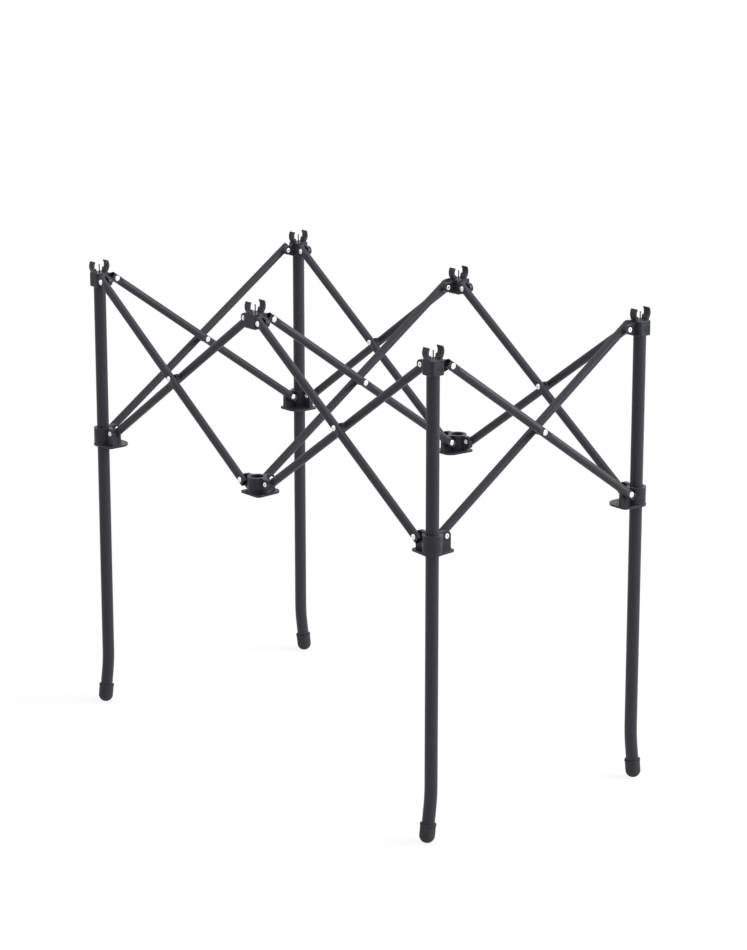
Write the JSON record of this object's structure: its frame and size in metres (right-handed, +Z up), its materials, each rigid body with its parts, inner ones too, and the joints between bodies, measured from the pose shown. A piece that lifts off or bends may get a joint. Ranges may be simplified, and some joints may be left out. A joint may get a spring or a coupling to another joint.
{
  "type": "folding scissor frame",
  "caption": "Folding scissor frame of crossed tube bars on straight legs with outward-bent rubber-capped feet, sliding lower hubs and open rail clips on top.",
  "frame": {"origin": "on the floor, under the middle of the open frame", "axes": "+Z up, +X along the frame's two bays, +Y from its front row of hubs to its back row"},
  "size_m": [0.833, 0.4372, 0.7292],
  "materials": {
    "powder_coated_tube": "satin",
    "black_nylon": "matte",
    "rubber_foot": "matte",
    "zinc_rivet": "satin"
  },
  "bodies": {
    "leg_front_left": {"top_hub_front_left": "black_nylon", "top_rivets_front_left": "zinc_rivet", "leg_front_left": "powder_coated_tube", "foot_front_left": "rubber_foot"},
    "hub_front_middle": {"top_hub_front_middle": "black_nylon", "top_rivets_front_middle": "zinc_rivet"},
    "leg_front_right": {"top_hub_front_right": "black_nylon", "top_rivets_front_right": "zinc_rivet", "leg_front_right": "powder_coated_tube", "foot_front_right": "rubber_foot"},
    "leg_back_left": {"top_hub_back_left": "black_nylon", "top_rivets_back_left": "zinc_rivet", "leg_back_left": "powder_coated_tube", "foot_back_left": "rubber_foot"},
    "hub_back_middle": {"top_hub_back_middle": "black_nylon", "top_rivets_back_middle": "zinc_rivet"},
    "leg_back_right": {"top_hub_back_right": "black_nylon", "top_rivets_back_right": "zinc_rivet", "leg_back_right": "powder_coated_tube", "foot_back_right": "rubber_foot"},
    "slider_front_left": {"slider_hub_front_left": "black_nylon", "slider_rivets_front_left": "zinc_rivet"},
    "slider_front_middle": {"slider_hub_front_middle": "black_nylon", "slider_rivets_front_middle": "zinc_rivet"},
    "slider_front_right": {"slider_hub_front_right": "black_nylon", "slider_rivets_front_right": "zinc_rivet"},
    "slider_back_left": {"slider_hub_back_left": "black_nylon", "slider_rivets_back_left": "zinc_rivet"},
    "slider_back_middle": {"slider_hub_back_middle": "black_nylon", "slider_rivets_back_middle": "zinc_rivet"},
    "slider_back_right": {"slider_hub_back_right": "black_nylon", "slider_rivets_back_right": "zinc_rivet"},
    "bar_front_left_falling": {"bar_front_left_falling": "powder_coated_tube", "cross_rivet_front_left": "zinc_rivet", "cross_spacer_front_left": "black_nylon"},
    "bar_front_left_rising": {"bar_front_left_rising": "powder_coated_tube"},
    "bar_front_right_falling": {"bar_front_right_falling": "powder_coated_tube", "cross_rivet_front_right": "zinc_rivet", "cross_spacer_front_right": "black_nylon"},
    "bar_front_right_rising": {"bar_front_right_rising": "powder_coated_tube"},
    "bar_back_left_falling": {"bar_back_left_falling": "powder_coated_tube", "cross_rivet_back_left": "zinc_rivet", "cross_spacer_back_left": "black_nylon"},
    "bar_back_left_rising": {"bar_back_left_rising": "powder_coated_tube"},
    "bar_back_right_falling": {"bar_back_right_falling": "powder_coated_tube", "cross_rivet_back_right": "zinc_rivet", "cross_spacer_back_right": "black_nylon"},
    "bar_back_right_rising": {"bar_back_right_rising": "powder_coated_tube"},
    "bar_left_end_falling": {"bar_left_end_falling": "powder_coated_tube", "cross_rivet_left_end": "zinc_rivet", "cross_spacer_left_end": "black_nylon"},
    "bar_left_end_rising": {"bar_left_end_rising": "powder_coated_tube"},
    "bar_middle_falling": {"bar_middle_falling": "powder_coated_tube", "cross_rivet_middle": "zinc_rivet", "cross_spacer_middle": "black_nylon"},
    "bar_middle_rising": {"bar_middle_rising": "powder_coated_tube"},
    "bar_right_end_falling": {"bar_right_end_falling": "powder_coated_tube", "cross_rivet_right_end": "zinc_rivet", "cross_spacer_right_end": "black_nylon"},
    "bar_right_end_rising": {"bar_right_end_rising": "powder_coated_tube"}
  },
  "joints": [
    {"name": "fold", "type": "hinge", "parent": "hub_front_middle", "child": "bar_front_left_rising", "pos_m": [-0.024, -0.20012, 0.7], "axis": [0, -1, 0], "range_deg": [0, 50]},
    {"name": "hinge_bar_front_left_falling", "type": "hinge", "parent": "bar_front_left_rising", "child": "bar_front_left_falling", "pos_m": [-0.20012, -0.20012, 0.57668], "axis": [0, 1, 0], "range_deg": [0, 100]},
    {"name": "hinge_leg_front_left", "type": "hinge", "parent": "bar_front_left_falling", "child": "leg_front_left", "pos_m": [-0.37623, -0.20012, 0.7], "axis": [0, -1, 0], "range_deg": [0, 50]},
    {"name": "hinge_slider_front_left", "type": "hinge", "parent": "bar_front_left_rising", "child": "slider_front_left", "pos_m": [-0.37623, -0.20012, 0.45336], "axis": [0, 1, 0], "range_deg": [0, 50]},
    {"name": "hinge_slider_front_middle", "type": "hinge", "parent": "bar_front_left_falling", "child": "slider_front_middle", "pos_m": [-0.024, -0.20012, 0.45336], "axis": [0, -1, 0], "range_deg": [0, 50]},
    {"name": "hinge_bar_front_right_falling", "type": "hinge", "parent": "hub_front_middle", "child": "bar_front_right_falling", "pos_m": [0.024, -0.20012, 0.7], "axis": [0, 1, 0], "range_deg": [0, 50]},
    {"name": "hinge_bar_front_right_rising", "type": "hinge", "parent": "bar_front_right_falling", "child": "bar_front_right_rising", "pos_m": [0.20012, -0.20012, 0.57668], "axis": [0, -1, 0], "range_deg": [0, 100]},
    {"name": "hinge_leg_front_right", "type": "hinge", "parent": "bar_front_right_rising", "child": "leg_front_right", "pos_m": [0.37623, -0.20012, 0.7], "axis": [0, 1, 0], "range_deg": [0, 50]},
    {"name": "hinge_slider_front_right", "type": "hinge", "parent": "bar_front_right_falling", "child": "slider_front_right", "pos_m": [0.37623, -0.20012, 0.45336], "axis": [0, -1, 0], "range_deg": [0, 50]},
    {"name": "hinge_bar_middle_falling", "type": "hinge", "parent": "hub_front_middle", "child": "bar_middle_falling", "pos_m": [0, -0.17612, 0.7], "axis": [-1, 0, 0], "range_deg": [0, 50]},
    {"name": "hinge_bar_middle_rising", "type": "hinge", "parent": "bar_middle_falling", "child": "bar_middle_rising", "pos_m": [0, 0, 0.57668], "axis": [1, 0, 0], "range_deg": [0, 100]},
    {"name": "hinge_hub_back_middle", "type": "hinge", "parent": "bar_middle_rising", "child": "hub_back_middle", "pos_m": [0, 0.17612, 0.7], "axis": [-1, 0, 0], "range_deg": [0, 50]},
    {"name": "hinge_slider_back_middle", "type": "hinge", "parent": "bar_middle_falling", "child": "slider_back_middle", "pos_m": [0, 0.17612, 0.45336], "axis": [1, 0, 0], "range_deg": [0, 50]},
    {"name": "hinge_bar_back_left_rising", "type": "hinge", "parent": "hub_back_middle", "child": "bar_back_left_rising", "pos_m": [-0.024, 0.20012, 0.7], "axis": [0, -1, 0], "range_deg": [0, 50]},
    {"name": "hinge_bar_back_left_falling", "type": "hinge", "parent": "bar_back_left_rising", "child": "bar_back_left_falling", "pos_m": [-0.20012, 0.20012, 0.57668], "axis": [0, 1, 0], "range_deg": [0, 100]},
    {"name": "hinge_leg_back_left", "type": "hinge", "parent": "bar_back_left_falling", "child": "leg_back_left", "pos_m": [-0.37623, 0.20012, 0.7], "axis": [0, -1, 0], "range_deg": [0, 50]},
    {"name": "hinge_slider_back_left", "type": "hinge", "parent": "bar_back_left_rising", "child": "slider_back_left", "pos_m": [-0.37623, 0.20012, 0.45336], "axis": [0, 1, 0], "range_deg": [0, 50]},
    {"name": "hinge_bar_back_right_falling", "type": "hinge", "parent": "hub_back_middle", "child": "bar_back_right_falling", "pos_m": [0.024, 0.20012, 0.7], "axis": [0, 1, 0], "range_deg": [0, 50]},
    {"name": "hinge_bar_back_right_rising", "type": "hinge", "parent": "bar_back_right_falling", "child": "bar_back_right_rising", "pos_m": [0.20012, 0.20012, 0.57668], "axis": [0, -1, 0], "range_deg": [0, 100]},
    {"name": "hinge_leg_back_right", "type": "hinge", "parent": "bar_back_right_rising", "child": "leg_back_right", "pos_m": [0.37623, 0.20012, 0.7], "axis": [0, 1, 0], "range_deg": [0, 50]},
    {"name": "hinge_slider_back_right", "type": "hinge", "parent": "bar_back_right_falling", "child": "slider_back_right", "pos_m": [0.37623, 0.20012, 0.45336], "axis": [0, -1, 0], "range_deg": [0, 50]},
    {"name": "hinge_bar_left_end_falling", "type": "hinge", "parent": "leg_front_left", "child": "bar_left_end_falling", "pos_m": [-0.40024, -0.17612, 0.7], "axis": [-1, 0, 0], "range_deg": [0, 50]},
    {"name": "hinge_bar_left_end_rising", "type": "hinge", "parent": "leg_back_left", "child": "bar_left_end_rising", "pos_m": [-0.40024, 0.17612, 0.7], "axis": [1, 0, 0], "range_deg": [0, 50]},
    {"name": "hinge_bar_right_end_falling", "type": "hinge", "parent": "leg_front_right", "child": "bar_right_end_falling", "pos_m": [0.40024, -0.17612, 0.7], "axis": [-1, 0, 0], "range_deg": [0, 50]},
    {"name": "hinge_bar_right_end_rising", "type": "hinge", "parent": "leg_back_right", "child": "bar_right_end_rising", "pos_m": [0.40024, 0.17612, 0.7], "axis": [1, 0, 0], "range_deg": [0, 50]}
  ],
  "couplings": [
    {"joint": "hinge_bar_front_left_falling", "follows": "fold", "ratio": 2},
    {"joint": "hinge_leg_front_left", "follows": "fold", "ratio": 1},
    {"joint": "hinge_slider_front_left", "follows": "fold", "ratio": 1},
    {"joint": "hinge_slider_front_middle", "follows": "fold", "ratio": 1},
    {"joint": "hinge_bar_front_right_falling", "follows": "fold", "ratio": 1},
    {"joint": "hinge_bar_front_right_rising", "follows": "fold", "ratio": 2},
    {"joint": "hinge_leg_front_right", "follows": "fold", "ratio": 1},
    {"joint": "hinge_slider_front_right", "follows": "fold", "ratio": 1},
    {"joint": "hinge_bar_middle_falling", "follows": "fold", "ratio": 1},
    {"joint": "hinge_bar_middle_rising", "follows": "fold", "ratio": 2},
    {"joint": "hinge_hub_back_middle", "follows": "fold", "ratio": 1},
    {"joint": "hinge_slider_back_middle", "follows": "fold", "ratio": 1},
    {"joint": "hinge_bar_back_left_rising", "follows": "fold", "ratio": 1},
    {"joint": "hinge_bar_back_left_falling", "follows": "fold", "ratio": 2},
    {"joint": "hinge_leg_back_left", "follows": "fold", "ratio": 1},
    {"joint": "hinge_slider_back_left", "follows": "fold", "ratio": 1},
    {"joint": "hinge_bar_back_right_falling", "follows": "fold", "ratio": 1},
    {"joint": "hinge_bar_back_right_rising", "follows": "fold", "ratio": 2},
    {"joint": "hinge_leg_back_right", "follows": "fold", "ratio": 1},
    {"joint": "hinge_slider_back_right", "follows": "fold", "ratio": 1},
    {"joint": "hinge_bar_left_end_falling", "follows": "fold", "ratio": 1},
    {"joint": "hinge_bar_left_end_rising", "follows": "fold", "ratio": 1},
    {"joint": "hinge_bar_right_end_falling", "follows": "fold", "ratio": 1},
    {"joint": "hinge_bar_right_end_rising", "follows": "fold", "ratio": 1}
  ]
}
